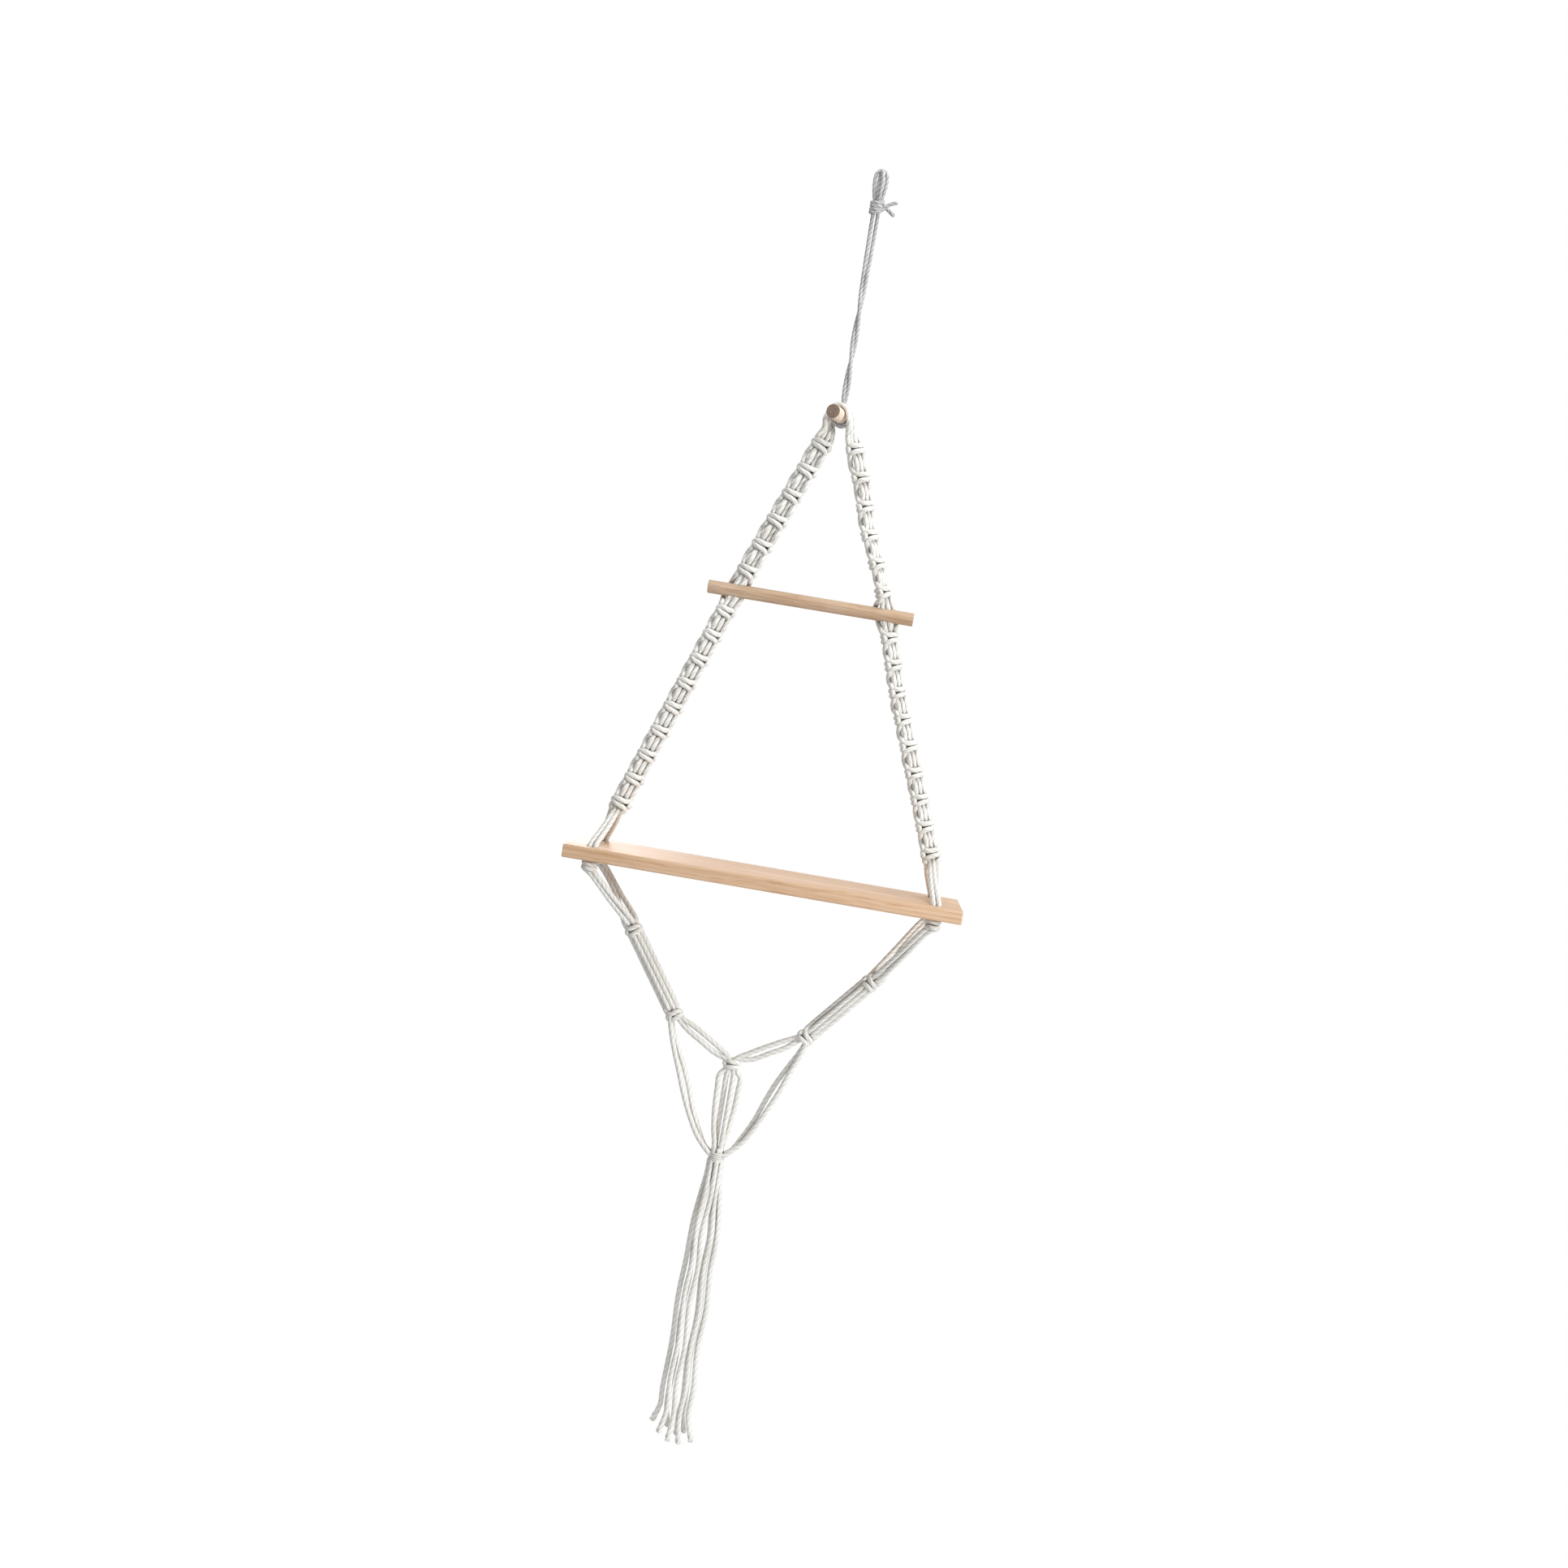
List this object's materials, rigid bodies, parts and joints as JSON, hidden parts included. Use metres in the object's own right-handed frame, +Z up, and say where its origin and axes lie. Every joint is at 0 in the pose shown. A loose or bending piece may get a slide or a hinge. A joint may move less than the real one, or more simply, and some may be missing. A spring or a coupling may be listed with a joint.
{
  "type": "hanging rope shelf",
  "caption": "Wooden shelf board hung from knotted cotton cords, with a cross bar above it and a cord tassel below.",
  "frame": {"origin": "where the hook bears, inside the top of the hanging loop", "axes": "+X along the board towards its right end, +Y back towards the wall, +Z up"},
  "size_m": [0.45, 0.12, 1.4712],
  "materials": {
    "board_wood": "sanded, unvarnished",
    "bar_wood": "sanded, unvarnished",
    "dowel_wood": "sanded, unvarnished",
    "cotton_cord": "matt twisted cotton",
    "hanging_cord": "matt twisted cord"
  },
  "bodies": {
    "loop": {"hanging_loop": "hanging_cord", "hanging_knot": "hanging_cord"},
    "strands": {"hanging_strand_left": "hanging_cord", "hanging_strand_right": "hanging_cord"},
    "dowel": {"top_dowel": "dowel_wood", "dowel_hitch": "hanging_cord"},
    "frame": {"knotting_saddle_front": "cotton_cord", "filler_saddle_front": "cotton_cord", "filler_saddle_back": "cotton_cord", "knotting_saddle_back": "cotton_cord", "left_filler_front": "cotton_cord", "left_filler_back": "cotton_cord", "right_filler_front": "cotton_cord", "right_filler_back": "cotton_cord", "left_knotted_cords": "cotton_cord", "right_knotted_cords": "cotton_cord", "cross_bar": "bar_wood", "shelf_board": "board_wood", "left_front_stopper": "cotton_cord", "left_back_stopper": "cotton_cord", "right_front_stopper": "cotton_cord", "right_back_stopper": "cotton_cord", "left_upper_knot": "cotton_cord", "right_upper_knot": "cotton_cord"},
    "net": {"left_arm_cord_1": "cotton_cord", "left_arm_cord_2": "cotton_cord", "left_arm_cord_3": "cotton_cord", "left_arm_cord_4": "cotton_cord", "right_arm_cord_1": "cotton_cord", "right_arm_cord_2": "cotton_cord", "right_arm_cord_3": "cotton_cord", "right_arm_cord_4": "cotton_cord", "left_side_knot": "cotton_cord", "right_side_knot": "cotton_cord", "left_inner_cord_upper": "cotton_cord", "left_inner_cord_lower": "cotton_cord", "right_inner_cord_upper": "cotton_cord", "right_inner_cord_lower": "cotton_cord", "centre_knot": "cotton_cord", "centre_cord_1": "cotton_cord", "centre_cord_2": "cotton_cord", "centre_cord_3": "cotton_cord", "centre_cord_4": "cotton_cord", "left_outer_cord_front": "cotton_cord", "left_outer_cord_back": "cotton_cord", "right_outer_cord_front": "cotton_cord", "right_outer_cord_back": "cotton_cord", "tassel_binding": "cotton_cord"},
    "tassel": {"tassel_cord_1": "cotton_cord", "tassel_cord_2": "cotton_cord", "tassel_cord_3": "cotton_cord", "tassel_cord_4": "cotton_cord", "tassel_cord_5": "cotton_cord", "tassel_cord_6": "cotton_cord", "tassel_cord_7": "cotton_cord", "tassel_cord_8": "cotton_cord"}
  },
  "joints": [
    {"name": "front_swing", "type": "hinge", "parent": "loop", "child": "strands", "pos_m": [0, 0, -0.043], "axis": [1, 0, 0], "range_deg": [-20, 20]},
    {"name": "turn", "type": "hinge", "parent": "strands", "child": "dowel", "pos_m": [0, 0, -0.26055], "axis": [0, 0, 1], "range_deg": [-90, 90]},
    {"name": "side_swing", "type": "hinge", "parent": "dowel", "child": "frame", "pos_m": [0, 0, -0.274], "axis": [0.2588, 0.9659, 0], "range_deg": [-20, 20]},
    {"name": "lower_swing", "type": "hinge", "parent": "frame", "child": "net", "pos_m": [-0.138, 0, -0.886], "axis": [0.9985, 0, -0.0543], "range_deg": [-25, 25]},
    {"name": "tassel_swing", "type": "hinge", "parent": "net", "child": "tassel", "pos_m": [-0.002, 0, -1.128], "axis": [0, 1, 0], "range_deg": [-20, 20]}
  ]
}
